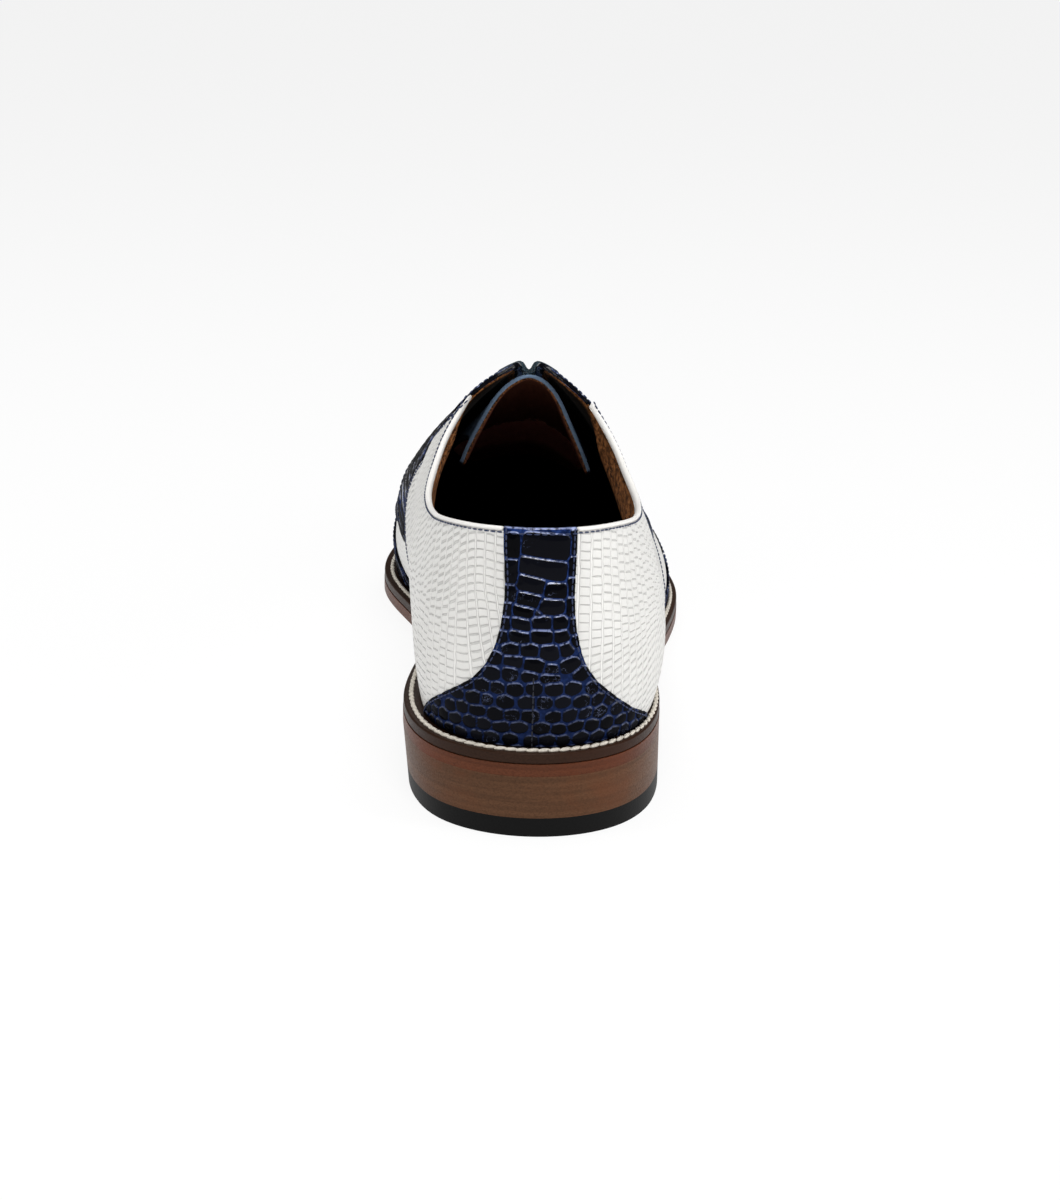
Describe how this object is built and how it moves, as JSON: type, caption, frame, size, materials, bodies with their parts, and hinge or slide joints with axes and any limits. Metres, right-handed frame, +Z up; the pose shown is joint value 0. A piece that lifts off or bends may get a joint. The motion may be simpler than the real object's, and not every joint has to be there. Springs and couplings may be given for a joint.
{
  "type": "bike toe oxford shoe",
  "caption": "Right-foot lace-up dress shoe: hollow two-tone upper open at the collar, with scale-embossed overlays, on a welted leather sole and stacked heel",
  "frame": {"origin": "on the floor under the middle of the shoe's box", "axes": "toe along +Y, outer (lateral) side of the right foot along +X, up along +Z"},
  "size_m": [0.1045, 0.304, 0.1103],
  "materials": {
    "white_leather": "small embossed tiles, satin",
    "navy_leather": "embossed scales, glossy",
    "white_binding": "smooth, satin",
    "tongue_suede": "napped",
    "lace_cord": "woven cord",
    "insole_leather": "matt",
    "welt_leather": "waxed edge",
    "sole_leather": "burnished edge",
    "stacked_leather": "burnished stack",
    "rubber_lift": "matt"
  },
  "bodies": {
    "root": {"upper": "white_leather", "heel_counter": "navy_leather", "eyestay_lateral": "navy_leather", "eyestay_medial": "navy_leather", "toe_panel": "navy_leather", "toe_strip": "navy_leather", "collar_binding_lateral": "white_binding", "collar_binding_medial": "white_binding", "tongue": "tongue_suede", "lace_bar_1": "lace_cord", "lace_bar_2": "lace_cord", "lace_bar_3": "lace_cord", "lace_bar_4": "lace_cord", "lace_bar_5": "lace_cord", "insole": "insole_leather", "welt": "welt_leather", "outsole": "sole_leather", "heel_base": "stacked_leather", "heel_top_lift": "rubber_lift"}
  },
  "joints": []
}
